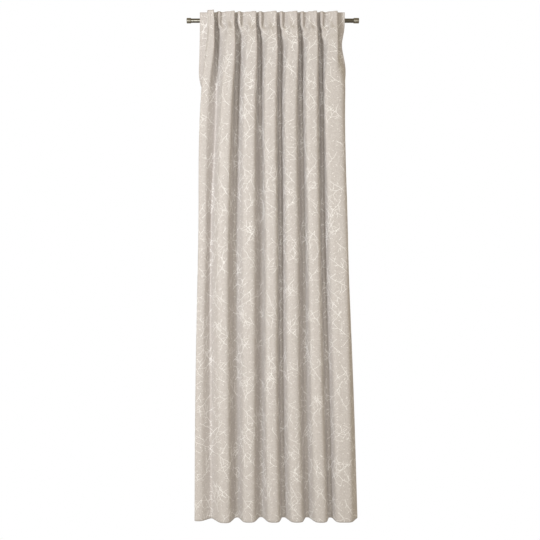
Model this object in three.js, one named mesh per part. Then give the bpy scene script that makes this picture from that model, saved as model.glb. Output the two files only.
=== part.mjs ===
// A tab top curtain on a short round rod. One length of cloth hangs in seven uneven folds from eight hidden
// tabs that are sewn to the back of its heading, so the rod runs behind the cloth and the heading stands
// above it. Millimetres. The origin is on the rod's axis at mid length. +X runs along the rod, +Z is up and
// the front of the curtain faces -Y.

import * as THREE from 'three';

const { lerp, smoothstep, clamp, degToRad } = THREE.MathUtils;

// The cloth as it is cut and hemmed, and how far its top edge stands above the rod's axis.
const CLOTH = { width: 1400, drop: 2450, thickness: 1.2, aboveRod: 35.5 };
const TOP = CLOTH.aboveRod;
const HEM = TOP - CLOTH.drop;

// The rod's tube and the two caps, with each cap's outer face and its length along the rod.
const ROD = { outerRadius: 10, wall: 1, sides: 32 };
const CAP = { radius: 12.5, endWall: 4, rounding: 1.5, shoulder: 0.8 };
const END_CAPS = [
  { name: 'end_cap_left', face: -405.6, length: 20, side: -1 },
  { name: 'end_cap_right', face: 406.1, length: 25, side: 1 },
];

// A tab is a strap, sewn flat above and below the rod, that passes over the rod and down behind it.
const TAB = {
  width: 32,
  seamTop: 30,
  seamBottom: 14,
  lowerSeamTop: -45,
  lowerSeamBottom: -60,
  arcSteps: 10,
};

// The gap that touching pieces keep, and the one between the panel and its tabs, where the panel's ridges
// bring it a little nearer.
const GAP = 0.3;
const SEAM_GAP = 0.37;

// The cloth outside the first tab, and between one tab and the next, from left to right.
const SIDE_FLAP = 20;
const TAB_SPACING = [164, 201, 201, 201, 201, 201, 191];
const TAB_PLACES = [SIDE_FLAP];
for (const step of TAB_SPACING) TAB_PLACES.push(TAB_PLACES.at(-1) + step);

// Heights at which the tables below give the folds, as distances above the rod's axis.
const LEVELS = { tabs: -20, belowTabs: -130, upper: -325, middle: -1034, lower: -1815, hem: HEM };

// Where each fold's front stands along X at the levels, the share of the usual flat that it has, and how
// much further from its left tab than usual it starts to come forward at the top edge. That extra is gone
// further down.
const FRONTS = [
  { tabs: -282, belowTabs: -288, upper: -318, middle: -338, lower: -358, hem: -366, flat: 0.7, late: 0 },
  { tabs: -190, belowTabs: -194, upper: -211, middle: -234, lower: -236, hem: -234, flat: 0.9, late: 60 },
  { tabs: -91, belowTabs: -95, upper: -106, middle: -112, lower: -114, hem: -116, flat: 1, late: 60 },
  { tabs: 4, belowTabs: 0, upper: -9, middle: -5, lower: -5, hem: 6, flat: 1, late: 60 },
  { tabs: 101, belowTabs: 97, upper: 87, middle: 94, lower: 102, hem: 120, flat: 1, late: 60 },
  { tabs: 193, belowTabs: 188, upper: 184, middle: 197, lower: 216, hem: 238, flat: 1, late: 60 },
  { tabs: 287, belowTabs: 282, upper: 272, middle: 298, lower: 326, hem: 340, flat: 1, late: 60 },
];
const LATE_GONE = { from: 10, over: 120 };

// Where each tab, and the valley that falls from it, stands along X, the share of the usual flat that the
// valley has, and how far back it hangs.
const VALLEYS = [
  { tabs: -323, belowTabs: -326, upper: -337, middle: -341, lower: -354, hem: -361, flat: 1, back: 12 },
  { tabs: -284, belowTabs: -270, upper: -268, middle: -298, lower: -304, hem: -304, flat: 0.6, back: 0 },
  { tabs: -189, belowTabs: -171, upper: -173, middle: -184, lower: -182, hem: -177, flat: 1, back: 12 },
  { tabs: -90, belowTabs: -69, upper: -62, middle: -55, lower: -57, hem: -58, flat: 1, back: 16 },
  { tabs: 8, belowTabs: 28, upper: 33, middle: 38, lower: 43, hem: 54, flat: 1, back: 14 },
  { tabs: 105, belowTabs: 124, upper: 132, middle: 149, lower: 160, hem: 171, flat: 1, back: 14 },
  { tabs: 197, belowTabs: 218, upper: 232, middle: 242, lower: 270, hem: 286, flat: 1, back: 12 },
  { tabs: 318, belowTabs: 303, upper: 310, middle: 347, lower: 377, hem: 399, flat: 1, back: 12 },
];

// Half the flat of a valley and of a front, measured along the cloth, and half the length of the round turns
// beside them.
const SHAPES = [
  { z: TOP, valley: 15.5, valleyTurn: 3.5, front: 14, frontTurn: 6 },
  { z: -50, valley: 15, valleyTurn: 4, front: 16, frontTurn: 8 },
  { z: -130, valley: 7, valleyTurn: 6, front: 22, frontTurn: 9 },
  { z: -230, valley: 6, valleyTurn: 6, front: 24, frontTurn: 14 },
  { z: LEVELS.middle, valley: 6, valleyTurn: 6, front: 22, frontTurn: 21 },
  { z: LEVELS.hem, valley: 7, valleyTurn: 7, front: 22, frontTurn: 22 },
];

// Creases and, with a turn below zero, ridges: the fold they lie in, their place along the cloth from that
// fold's left tab, half their width, their turn in radians, and the heights where they start to fade and end.
const CREASES = [
  { fold: 1, at: 78, half: 9, turn: 1.1, fades: 10, ends: -70 },
  { fold: 2, at: 46, half: 13, turn: -1.4, fades: -20, ends: -100 },
  { fold: 2, at: 116, half: 8, turn: 1.0, fades: 0, ends: -80 },
  { fold: 3, at: 46, half: 13, turn: -1.4, fades: -15, ends: -95 },
  { fold: 3, at: 116, half: 8, turn: 0.8, fades: 5, ends: -80 },
  { fold: 4, at: 46, half: 13, turn: -1.4, fades: -30, ends: -110 },
  { fold: 4, at: 116, half: 8, turn: 0.9, fades: 0, ends: -80 },
  { fold: 5, at: 46, half: 13, turn: -1.4, fades: -35, ends: -120 },
  { fold: 5, at: 116, half: 8, turn: 1.0, fades: 10, ends: -70 },
  { fold: 6, at: 46, half: 13, turn: -1.4, fades: -30, ends: -110 },
  { fold: 6, at: 116, half: 8, turn: 1.1, fades: 0, ends: -80 },
  { fold: 7, at: 46, half: 13, turn: -1.4, fades: -40, ends: -130 },
  { fold: 7, at: 116, half: 8, turn: 1.0, fades: 10, ends: -60 },
];

// How far forward the first front stands below the tabs, and the share of the last fold's cloth that lies
// left of its front there.
const FIRST_FRONT_Y = -37;
const LAST_SHARE = 0.5;

// Below the tabs the cloth drops back under the rod over this height.
const DROP_BACK = { from: -60, over: 200 };

// The side edges turn to the back over a height. Each turn starts so far outside the last front and takes a
// length of cloth. The right one's turn, in degrees, and its length change from level to level. The left
// one's free edge also curls over this much cloth.
const LEFT_EDGE = { from: -220, over: 200, outside: 4, turn: 92, length: 24 };
const LEFT_CURL = { turn: 35, over: 60 };
const RIGHT_EDGE = { from: -90, over: 240, outside: 25 };
const RIGHT_TURNS = { tabs: 95, belowTabs: 95, upper: 95, middle: 88, lower: 72, hem: 62 };
const RIGHT_LENGTHS = { tabs: 78, belowTabs: 78, upper: 78, middle: 60, lower: 45, hem: 40 };

// The heights of the mesh's rows, the cloth between its columns, and the step with which a section is drawn.
const ROWS = [TOP, 5, -25, DROP_BACK.from, -100, -145, -200, -260, -330, -560, LEVELS.middle, -1430,
  LEVELS.lower, LEVELS.hem];
const COLUMN_STEP = 10;
const SECTION_STEP = 1;

const TAB_MIDDLE_Y = -(ROD.outerRadius + GAP + CLOTH.thickness / 2);
const PANEL_Y = TAB_MIDDLE_Y - SEAM_GAP - CLOTH.thickness;

// The wall's steepest turn, in radians, the share of a fold's cloth that its left half may take, the share
// that the first fold's may take below the tabs, and how finely they are worked out.
const STEEPEST_WALL = 2.9;
const HALF_SHARE = { least: 0.22, most: 0.78 };
const FIRST_SHARE = { least: 0.45, most: 0.85 };
const HALVINGS = 24;
const SAMPLES = 64;

// The x at height z of a front or valley whose row gives it at the levels, as one smooth curve.
function placeAt(row, z) {
  const names = Object.keys(LEVELS);
  const heights = names.map((name) => LEVELS[name]);
  const height = clamp(z, HEM, LEVELS.tabs);
  const last = names.length - 2;
  const found = heights.findIndex((level, n) => n <= last && height >= heights[n + 1]);
  const slopes = names.map((name, n) => slopeAt(row, names, n));
  const span = heights[found + 1] - heights[found];
  const t = (height - heights[found]) / span;
  const start = row[names[found]];
  const end = row[names[found + 1]];
  return start * (1 + 2 * t) * (1 - t) ** 2 + slopes[found] * span * t * (1 - t) ** 2
    + end * t * t * (3 - 2 * t) + slopes[found + 1] * span * t * t * (t - 1);
}

// The slope of that curve at a level: none at the tabs, the mean of both sides further down.
function slopeAt(row, names, n) {
  if (n === 0) return 0;
  const between = (a, b) => (row[names[b]] - row[names[a]]) / (LEVELS[names[b]] - LEVELS[names[a]]);
  if (n === names.length - 1) return between(n - 1, n);
  return (between(n - 1, n) + between(n, n + 1)) / 2;
}

// A row's value at height z, straight from one level to the next.
function straightAt(row, z) {
  const names = Object.keys(LEVELS);
  const height = clamp(z, HEM, LEVELS.tabs);
  const below = Math.max(1, names.findIndex((name) => height >= LEVELS[name]));
  const [high, low] = [names[below - 1], names[below]];
  return lerp(row[high], row[low], (LEVELS[high] - height) / (LEVELS[high] - LEVELS[low]));
}

// How far a change that comes about over a height has gone, from 0 to 1.
function goneAt(z, { from, over }) {
  return 1 - smoothstep(z, from - over, from);
}

// The fold's shape at a height, between the rows of the table.
function shapeAt(z) {
  const below = Math.max(1, SHAPES.findIndex((shape) => z >= shape.z));
  const high = SHAPES[below - 1];
  const low = SHAPES[below];
  const t = (high.z - z) / (high.z - low.z);
  const shape = {};
  for (const key of ['valley', 'valleyTurn', 'front', 'frontTurn']) shape[key] = lerp(high[key], low[key], t);
  return shape;
}

// The shape of the left half of fold n, with way 1, or of its right half, with way -1.
function halfShape(n, way, z) {
  const shape = shapeAt(z);
  const front = FRONTS[n];
  const valley = VALLEYS[way > 0 ? n : n + 1];
  const late = way > 0 ? front.late * (1 - goneAt(z, LATE_GONE)) : 0;
  return {
    valley: shape.valley * valley.flat + late,
    valleyTurn: shape.valleyTurn * valley.flat,
    front: shape.front * front.flat,
    frontTurn: shape.frontTurn * front.flat,
  };
}

// How much of the wall's turn a half fold has at a distance from its valley's middle.
function wallShare(distance, length, { valley, valleyTurn, front, frontTurn }) {
  const rises = smoothstep(distance, valley - valleyTurn, valley + valleyTurn);
  const falls = smoothstep(distance, length - front - frontTurn, length - front + frontTurn);
  return rises * (1 - falls);
}

// The creases that show at a height, with their places along the cloth and what is left of their turns.
function creasesAt(z) {
  const found = CREASES.map(({ fold, at, half, turn, fades, ends }) => (
    { place: TAB_PLACES[fold - 1] + at, half, turn: turn * smoothstep(z, ends, fades) }));
  return found.filter(({ turn }) => turn !== 0);
}

// The turn that they give the cloth at a place.
function creaseTurn(place, creases) {
  let sum = 0;
  for (const crease of creases) {
    const off = (place - crease.place) / crease.half;
    sum += crease.turn * off * Math.exp((1 - off * off) / 2);
  }
  return sum;
}

// How far a half fold reaches across and forward, with a length of cloth and a wall that turns so far.
function reachOf(half, length, wall) {
  let across = 0;
  let forward = 0;
  for (let n = 0; n < SAMPLES; n += 1) {
    const distance = ((n + 0.5) / SAMPLES) * length;
    const creased = half.way * creaseTurn(half.tab + half.way * distance, half.creases);
    const turn = wall * wallShare(distance, length, half.shape) + creased;
    across += (Math.cos(turn) * length) / SAMPLES;
    forward += (Math.sin(turn) * length) / SAMPLES;
  }
  return { across, forward };
}

// The value between low and high at which tooLow turns false.
function bisect(low, high, tooLow) {
  for (let n = 0; n < HALVINGS; n += 1) {
    const middle = (low + high) / 2;
    if (tooLow(middle)) low = middle;
    else high = middle;
  }
  return (low + high) / 2;
}

// The wall's turn that makes a half fold reach as far across as its front is from its tab.
function wallOf(half, length) {
  return bisect(0, STEEPEST_WALL, (wall) => reachOf(half, length, wall).across > half.across);
}

// How far forward a half fold then reaches.
function forwardOf(half, length) {
  return reachOf(half, length, wallOf(half, length)).forward;
}

// A fold at a height: both halves, each with its share of the cloth, so that they meet at the front while
// their valleys hang as far back as the table says. The two outer folds are freer below the tabs.
function foldAt(n, z, valleyY, creases) {
  const cloth = TAB_SPACING[n];
  const front = placeAt(FRONTS[n], z);
  const left = { way: 1, tab: TAB_PLACES[n], shape: halfShape(n, 1, z), creases };
  const right = { way: -1, tab: TAB_PLACES[n + 1], shape: halfShape(n, -1, z), creases };
  left.across = front - placeAt(VALLEYS[n], z);
  right.across = placeAt(VALLEYS[n + 1], z) - front;
  let length = bisect(cloth * HALF_SHARE.least, cloth * HALF_SHARE.most, (part) => (
    valleyY[n] - forwardOf(left, part) > valleyY[n + 1] - forwardOf(right, cloth - part)));
  let turned = 0;
  if (n === 0) {
    turned = goneAt(z, LEFT_EDGE);
    const free = bisect(cloth * FIRST_SHARE.least, cloth * FIRST_SHARE.most, (part) => (
      valleyY[1] - forwardOf(right, cloth - part) < FIRST_FRONT_Y));
    length = lerp(length, free, turned);
  }
  if (n === FRONTS.length - 1) {
    turned = goneAt(z, RIGHT_EDGE);
    length = lerp(length, cloth * LAST_SHARE, turned);
  }
  left.length = length;
  right.length = cloth - length;
  for (const half of [left, right]) half.wall = wallOf(half, half.length);
  return { left, right, turned, middle: TAB_PLACES[n] + length };
}

// The cloth's section at a height: its folds, its creases and how far back its valleys hang.
function levelAt(z) {
  const creases = creasesAt(z);
  const dropped = goneAt(z, DROP_BACK);
  const valleyY = VALLEYS.map((valley) => lerp(PANEL_Y, valley.back, dropped));
  const folds = FRONTS.map((front, n) => foldAt(n, z, valleyY, creases));
  return { z, creases, valleyY, folds };
}

// The left flap's turn at a place, once it has turned to the back.
function leftFlapTurn(place, { middle }) {
  const { outside, length, turn } = LEFT_EDGE;
  const turned = turn * smoothstep(middle - place, outside, outside + length);
  const curled = LEFT_CURL.turn * (1 - smoothstep(place, SIDE_FLAP, SIDE_FLAP + LEFT_CURL.over));
  return degToRad(turned + curled);
}

// The right flap's turn at a place, once it has turned to the back.
function rightFlapTurn(place, { middle }, z) {
  const turn = degToRad(straightAt(RIGHT_TURNS, z));
  const length = straightAt(RIGHT_LENGTHS, z);
  return -turn * smoothstep(place - middle, RIGHT_EDGE.outside, RIGHT_EDGE.outside + length);
}

// The cloth's turn from facing the front, at a place along it from its left edge.
function turnAt(place, { z, creases, folds }) {
  const last = folds.length - 1;
  const n = clamp(TAB_PLACES.findLastIndex((tab) => place >= tab), 0, last);
  const fold = folds[n];
  const { left, right, middle } = fold;
  let turn = 0;
  if (place >= left.tab && place < right.tab) {
    const half = place < middle ? left : right;
    const distance = half.way * (place - half.tab);
    turn = half.way * half.wall * wallShare(distance, half.length, half.shape) + creaseTurn(place, creases);
  }
  if (n === 0 && place < middle) return lerp(turn, leftFlapTurn(place, fold), fold.turned);
  if (n === last && place >= middle) return lerp(turn, rightFlapTurn(place, fold, z), fold.turned);
  return turn;
}

// The section's points from the left edge to the right one, each with the cloth's turn there. The section is
// then moved so that its second tab is where the table says.
function sectionAt(z) {
  const level = levelAt(z);
  const points = [{ x: 0, y: 0, turn: turnAt(0, level) }];
  const anchor = { x: 0, y: 0 };
  let [x, y] = [0, 0];
  for (let place = SECTION_STEP; place <= CLOTH.width; place += SECTION_STEP) {
    const turn = turnAt(place - SECTION_STEP / 2, level);
    x += Math.cos(turn) * SECTION_STEP;
    y -= Math.sin(turn) * SECTION_STEP;
    if (place === TAB_PLACES[1]) Object.assign(anchor, { x, y });
    if (place % COLUMN_STEP === 0) points.push({ x, y, turn: turnAt(place, level) });
  }
  const moveX = placeAt(VALLEYS[1], z) - anchor.x;
  const moveY = level.valleyY[1] - anchor.y;
  return points.map((point) => ({ x: point.x + moveX, y: point.y + moveY, turn: point.turn }));
}

// The hanging cloth: its front and back layers, half the thickness either side of the sections, closed
// along the four edges.
function panelGeometry() {
  const positions = [];
  const indices = [];
  const half = CLOTH.thickness / 2;
  const sections = ROWS.map(sectionAt);
  const columns = sections[0].length;
  for (const side of [-half, half]) {
    sections.forEach((points, row) => {
      for (const { x, y, turn } of points) {
        positions.push(x + side * Math.sin(turn), y + side * Math.cos(turn), ROWS[row]);
      }
    });
  }
  const vertex = (layer, row, column) => (layer * ROWS.length + row) * columns + column;
  const quad = (a, b, c, d) => indices.push(a, b, c, a, c, d);
  for (let row = 0; row < ROWS.length - 1; row += 1) {
    for (let column = 0; column < columns - 1; column += 1) {
      const corners = [[row, column], [row + 1, column], [row + 1, column + 1], [row, column + 1]];
      quad(...corners.map((corner) => vertex(0, ...corner)));
      quad(...corners.reverse().map((corner) => vertex(1, ...corner)));
    }
    for (const column of [0, columns - 1]) {
      const edge = [vertex(0, row, column), vertex(1, row, column), vertex(1, row + 1, column),
        vertex(0, row + 1, column)];
      quad(...(column === 0 ? edge : edge.reverse()));
    }
  }
  for (let column = 0; column < columns - 1; column += 1) {
    for (const row of [0, ROWS.length - 1]) {
      const edge = [vertex(0, row, column), vertex(0, row, column + 1), vertex(1, row, column + 1),
        vertex(1, row, column)];
      quad(...(row === 0 ? edge : edge.reverse()));
    }
  }
  const geometry = new THREE.BufferGeometry();
  geometry.setAttribute('position', new THREE.Float32BufferAttribute(positions, 3));
  geometry.setIndex(indices);
  geometry.computeVertexNormals();
  return geometry;
}

// The angle at which a strap from a point leaves the circle that it takes round the rod.
function tangentAngle(y, z, radius, way) {
  return Math.atan2(z, y) + way * Math.acos(radius / Math.hypot(y, z));
}

// A tab's strap seen from the side: its middle line, thickened to both sides and closed. In the outline x is
// the part's Y and y is its Z.
function tabShape() {
  const radius = -TAB_MIDDLE_Y;
  const start = tangentAngle(TAB_MIDDLE_Y, TAB.seamBottom, radius, -1);
  const end = tangentAngle(TAB_MIDDLE_Y, TAB.lowerSeamTop, radius, 1);
  const line = [TAB.seamTop, TAB.seamBottom].map((z) => new THREE.Vector2(TAB_MIDDLE_Y, z));
  for (let n = 0; n <= TAB.arcSteps; n += 1) {
    const angle = lerp(start, end, n / TAB.arcSteps);
    line.push(new THREE.Vector2(radius * Math.cos(angle), radius * Math.sin(angle)));
  }
  line.push(new THREE.Vector2(TAB_MIDDLE_Y, TAB.lowerSeamTop));
  line.push(new THREE.Vector2(TAB_MIDDLE_Y, TAB.lowerSeamBottom));
  const outer = offsetLine(line, CLOTH.thickness / 2);
  const inner = offsetLine(line, -CLOTH.thickness / 2);
  return new THREE.Shape([...outer, ...inner.reverse()]);
}

// A line moved sideways by a distance, with mitred corners.
function offsetLine(line, distance) {
  return line.map((point, n) => {
    const before = line[Math.max(n - 1, 0)];
    const after = line[Math.min(n + 1, line.length - 1)];
    const into = point.clone().sub(before).normalize();
    const out = after.clone().sub(point).normalize();
    const first = n === 0 ? out : into;
    const second = n === line.length - 1 ? into : out;
    const normal = new THREE.Vector2(first.y + second.y, -first.x - second.x).normalize();
    const mitre = distance / normal.dot(new THREE.Vector2(first.y, -first.x));
    return point.clone().addScaledVector(normal, mitre);
  });
}

// A pipe or cup that is turned about the rod's axis, from a profile of radii and places along X.
function turnedGeometry(profile) {
  const points = profile.map(([radius, along]) => new THREE.Vector2(radius, along));
  const geometry = new THREE.LatheGeometry(points, ROD.sides);
  geometry.rotateZ(-Math.PI / 2);
  return geometry;
}

// The tube, which ends just short of the inner faces of both caps.
function tubeGeometry() {
  const ends = END_CAPS.map(({ face, side }) => face - side * (CAP.endWall + GAP));
  const inner = ROD.outerRadius - ROD.wall;
  return turnedGeometry([
    [inner, ends[0]],
    [ROD.outerRadius, ends[0]],
    [ROD.outerRadius, ends[1]],
    [inner, ends[1]],
    [inner, ends[0]],
  ]);
}

// A cap: a cup that slips over the tube's end, with a rounded outer edge and a small shoulder.
function capGeometry({ face, length, side }) {
  const bore = ROD.outerRadius + GAP;
  const at = (depth) => face - side * depth;
  const profile = [
    [0, at(0)],
    [CAP.radius - CAP.rounding, at(0)],
    [CAP.radius, at(CAP.rounding)],
    [CAP.radius, at(length - CAP.shoulder)],
    [CAP.radius - CAP.shoulder, at(length)],
    [bore, at(length)],
    [bore, at(CAP.endWall)],
    [0, at(CAP.endWall)],
  ];
  return turnedGeometry(side < 0 ? profile : profile.reverse());
}

function clothMaterial() {
  return new THREE.MeshStandardMaterial({ color: 0xcfc6bb, roughness: 0.9, metalness: 0 });
}

function metalMaterial(color) {
  return new THREE.MeshStandardMaterial({ color, roughness: 0.35, metalness: 1 });
}

function namedMesh(name, geometry, material) {
  const mesh = new THREE.Mesh(geometry, material);
  mesh.name = name;
  return mesh;
}

const curtain = new THREE.Group();
curtain.add(namedMesh('curtain_panel', panelGeometry(), clothMaterial()));

// Each strap's outline is drawn from the side, then stood across the rod.
const acrossRod = new THREE.Matrix4().makeBasis(
  new THREE.Vector3(0, 1, 0),
  new THREE.Vector3(0, 0, 1),
  new THREE.Vector3(1, 0, 0),
);
VALLEYS.forEach((valley, n) => {
  const geometry = new THREE.ExtrudeGeometry(tabShape(), { depth: TAB.width, bevelEnabled: false });
  const mesh = namedMesh(`tab_${n + 1}`, geometry, clothMaterial());
  mesh.quaternion.setFromRotationMatrix(acrossRod);
  mesh.position.x = valley.tabs - TAB.width / 2;
  curtain.add(mesh);
});

const rod = new THREE.Group();
rod.add(namedMesh('rod_tube', tubeGeometry(), metalMaterial(0x8d8a82)));
for (const cap of END_CAPS) {
  rod.add(namedMesh(cap.name, capGeometry(cap), metalMaterial(0x84806f)));
}
curtain.add(rod);

export default curtain;
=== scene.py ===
from collections import namedtuple
from functools import cache
from math import acos, atan2, cos, hypot, pi, radians, sin

import bpy
import numpy as np
from bpy.props import FloatProperty, FloatVectorProperty, IntProperty, PointerProperty
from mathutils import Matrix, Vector


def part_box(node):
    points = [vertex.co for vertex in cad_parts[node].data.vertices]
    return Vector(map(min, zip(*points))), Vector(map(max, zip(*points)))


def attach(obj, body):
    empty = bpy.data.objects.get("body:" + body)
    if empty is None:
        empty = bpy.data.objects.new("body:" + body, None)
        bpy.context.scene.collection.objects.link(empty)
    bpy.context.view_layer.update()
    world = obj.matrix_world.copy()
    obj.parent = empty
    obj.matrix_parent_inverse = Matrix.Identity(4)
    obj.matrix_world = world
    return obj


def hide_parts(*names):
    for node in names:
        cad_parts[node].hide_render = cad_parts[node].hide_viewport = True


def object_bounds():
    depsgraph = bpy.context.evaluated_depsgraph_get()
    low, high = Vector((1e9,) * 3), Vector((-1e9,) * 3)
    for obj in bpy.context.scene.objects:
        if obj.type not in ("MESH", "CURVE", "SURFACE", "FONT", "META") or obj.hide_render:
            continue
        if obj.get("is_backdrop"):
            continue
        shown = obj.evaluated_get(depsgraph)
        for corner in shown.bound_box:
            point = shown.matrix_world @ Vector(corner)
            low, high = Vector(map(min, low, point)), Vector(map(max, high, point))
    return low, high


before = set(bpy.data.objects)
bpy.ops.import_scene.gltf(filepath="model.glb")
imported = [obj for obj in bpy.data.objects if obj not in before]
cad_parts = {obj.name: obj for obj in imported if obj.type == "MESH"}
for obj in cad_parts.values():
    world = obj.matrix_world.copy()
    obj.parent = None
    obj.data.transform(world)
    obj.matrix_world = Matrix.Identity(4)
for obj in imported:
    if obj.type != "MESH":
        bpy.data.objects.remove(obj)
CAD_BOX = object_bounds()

# A curtain of patterned blackout cloth that hangs in seven uneven folds from hidden tabs on a short rod.
# The cloth's tables are in millimetres and everything that is placed in the scene is in metres. The rod's
# axis is the X axis, +Z is up and the front of the curtain faces -Y.

bl_info = {
    "name": "Tab Top Curtain",
    "version": (1, 0, 0),
    "blender": (4, 5, 0),
    "location": "View3D > Sidebar > Curtain",
    "description": "Makes a hanging curtain with hidden tabs, a twig weave, stitching and its rod",
    "category": "Object",
}

MM = 0.001
PANEL_BOX = [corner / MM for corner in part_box("curtain_panel")]
TUBE_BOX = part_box("rod_tube")

# The cloth as it is cut and hemmed, from its top edge above the rod to its hem.
FLAT_WIDTH = 1400.0
TOP = PANEL_BOX[1].z
HEM = PANEL_BOX[0].z

# Cloth outside the first tab, and between one tab and the next, from left to right.
SIDE_FLAP = 20.0
TAB_SPACING = [164, 201, 201, 201, 201, 201, 191]
TAB_PLACES = [SIDE_FLAP + sum(TAB_SPACING[:n]) for n in range(len(TAB_SPACING) + 1)]

# Heights above the rod's axis at which the next tables give the folds.
Levels = namedtuple("Levels", "tabs below_tabs upper middle lower hem")
HEIGHTS = Levels(-20, -130, -325, -1034, -1815, HEM)

# Where the front of each fold stands along the rod, the share of the usual flat that it has, and how much
# further from its left tab than usual it starts to come forward at the top edge.
Front = namedtuple("Front", Levels._fields + ("flat", "late"))
FRONTS = [
    Front(-282, -288, -318, -338, -358, -366, 0.7, 0),
    Front(-190, -194, -211, -234, -236, -234, 0.9, 60),
    Front(-91, -95, -106, -112, -114, -116, 1, 60),
    Front(4, 0, -9, -5, -5, 6, 1, 60),
    Front(101, 97, 87, 94, 102, 120, 1, 60),
    Front(193, 188, 184, 197, 216, 238, 1, 60),
    Front(287, 282, 272, 298, 326, 340, 1, 60),
]

# Where each tab, and the valley that falls from it, stands along the rod, the share of the usual flat that
# the valley has, and how far back it hangs.
Valley = namedtuple("Valley", Levels._fields + ("flat", "back"))
VALLEYS = [
    Valley(-323, -326, -337, -341, -354, -361, 1, 12),
    Valley(-284, -270, -268, -298, -304, -304, 0.6, 0),
    Valley(-189, -171, -173, -184, -182, -177, 1, 12),
    Valley(-90, -69, -62, -55, -57, -58, 1, 16),
    Valley(8, 28, 33, 38, 43, 54, 1, 14),
    Valley(105, 124, 132, 149, 160, 171, 1, 14),
    Valley(197, 218, 232, 242, 270, 286, 1, 12),
    Valley(318, 303, 310, 347, 377, 399, 1, 12),
]

# Half the flat of a valley and of a front, measured along the cloth, and half the length of the round turns
# beside them.
Shape = namedtuple("Shape", "height valley valley_turn front front_turn")
SHAPES = [
    Shape(TOP, 15.5, 3.5, 14, 6),
    Shape(-50, 15, 4, 16, 8),
    Shape(-130, 7, 6, 22, 9),
    Shape(-230, 6, 6, 24, 14),
    Shape(-1034, 6, 6, 22, 21),
    Shape(HEM, 7, 7, 22, 22),
]

# The height where a front's late start begins to fade, and how far below it is gone.
LATE_GONE = (10.0, 120.0)

# Creases and, with a turn below zero, ridges: the fold they lie in, their place along the cloth from that
# fold's left tab, half their width, their turn in radians, and the heights where they start to fade and end.
Crease = namedtuple("Crease", "fold at half turn fades ends")
CREASES = [
    Crease(1, 78, 9, 1.1, 10, -70),
    Crease(2, 46, 13, -1.4, -20, -100),
    Crease(2, 116, 8, 1.0, 0, -80),
    Crease(3, 46, 13, -1.4, -15, -95),
    Crease(3, 116, 8, 0.8, 5, -80),
    Crease(4, 46, 13, -1.4, -30, -110),
    Crease(4, 116, 8, 0.9, 0, -80),
    Crease(5, 46, 13, -1.4, -35, -120),
    Crease(5, 116, 8, 1.0, 10, -70),
    Crease(6, 46, 13, -1.4, -30, -110),
    Crease(6, 116, 8, 1.1, 0, -80),
    Crease(7, 46, 13, -1.4, -40, -130),
    Crease(7, 116, 8, 1.0, 10, -60),
]

# Where the cloth lies against the tabs, how far forward the first front stands below them, and the share of
# the last fold's cloth that lies left of its front.
TAB_Y = -12.4
FIRST_FRONT_Y = -37.0
LAST_SHARE = 0.5

# The side edges' turn to the back in degrees at the levels, the length of cloth that it takes, how far it
# starts from the last front, and the height over which it comes about.
Edge = namedtuple("Edge", "starts over outside turns lengths")
LEFT_EDGE = Edge(-220, 200, 4, Levels(92, 92, 92, 92, 92, 92), Levels(24, 24, 24, 24, 24, 24))
RIGHT_EDGE = Edge(-90, 240, 25, Levels(95, 95, 95, 88, 72, 62), Levels(78, 78, 78, 60, 45, 40))

# The left flap's free edge also curls, by a turn in degrees over a length of cloth.
LEFT_CURL = (35, 60)

# The cloth leaves the tabs and drops back under the rod over this height.
DROP_BACK = (-60.0, 200.0)

# The share of a fold's cloth that its left half may take, and that the first fold's may take lower down.
HALF_SHARE = (0.22, 0.78)
FIRST_SHARE = (0.45, 0.85)

# How finely the sections are worked out, and the steepest turn of a wall.
HALF_SAMPLES = 64
HALVINGS = 18
STEEPEST_WALL = 2.9
SECTION_STEP = 1.0

# The mesh's columns along the cloth, and its rows: from a height down, so far apart.
COLUMN_STEP = 3.2
Band = namedtuple("Band", "top bottom step")
BANDS = [
    Band(TOP, -130, 5.5),
    Band(-130, -400, 15),
    Band(-400, -2300, 40),
    Band(-2300, HEM, 9.5),
]

# The hems: their depths and how much a doubled layer adds behind the cloth.
BOTTOM_HEM = 75.0
SIDE_HEM = 25.0
HEM_STEP = 4.0

# A strap of the tabs, seen from the side: sewn above the rod, over it, down behind it and sewn again.
STRAP = {"width": 32.0, "top": 30.0, "leaves": 14.0, "returns": -45.0, "bottom": -60.0}
STRAP_Y = -10.9
STRAP_STEP = 2.0
STRAP_COLUMNS = 17
STRAP_ARC_POINTS = 24


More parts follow.
